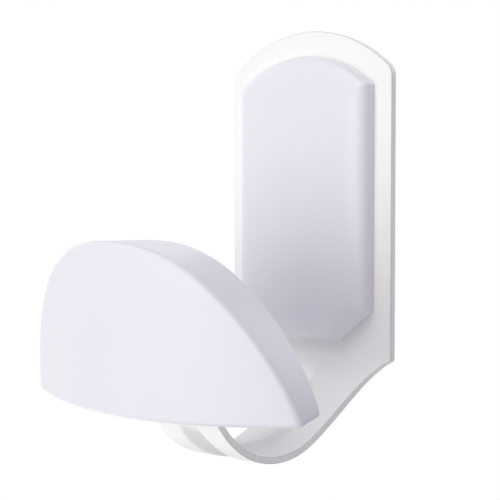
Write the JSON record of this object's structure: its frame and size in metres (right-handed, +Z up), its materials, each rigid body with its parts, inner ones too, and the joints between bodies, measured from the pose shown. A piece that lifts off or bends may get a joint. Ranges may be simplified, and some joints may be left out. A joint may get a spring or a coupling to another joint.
{
  "type": "coat hook",
  "caption": "Single wall coat hook: a bent steel strap with a domed back plate, a pull-off plastic cover over its screws and a broad half-moon plastic cap on the front.",
  "frame": {"origin": "in the wall plane, on the back of the plate, on its centre line and halfway up its straight sides", "axes": "+Z up, +Y into the wall, +X to the viewer's right when facing the hook"},
  "size_m": [0.0844, 0.0643, 0.0983],
  "materials": {
    "strap_paint": "smooth white powder coat",
    "cover_plastic": "satin moulded white",
    "cap_plastic": "satin moulded white",
    "cap_back_plastic": "fine matt moulded white",
    "screw_zinc": "zinc plated"
  },
  "bodies": {
    "hook": {"hook_strap": "strap_paint", "cap_shell": "cap_plastic", "cap_back": "cap_back_plastic", "cap_screw_left": "screw_zinc", "cap_screw_right": "screw_zinc"},
    "cover": {"back_cover": "cover_plastic"}
  },
  "joints": [
    {"name": "cover_pull", "type": "slide", "parent": "hook", "child": "cover", "axis": [0, -1, 0], "range_m": [0, 0.03]}
  ]
}
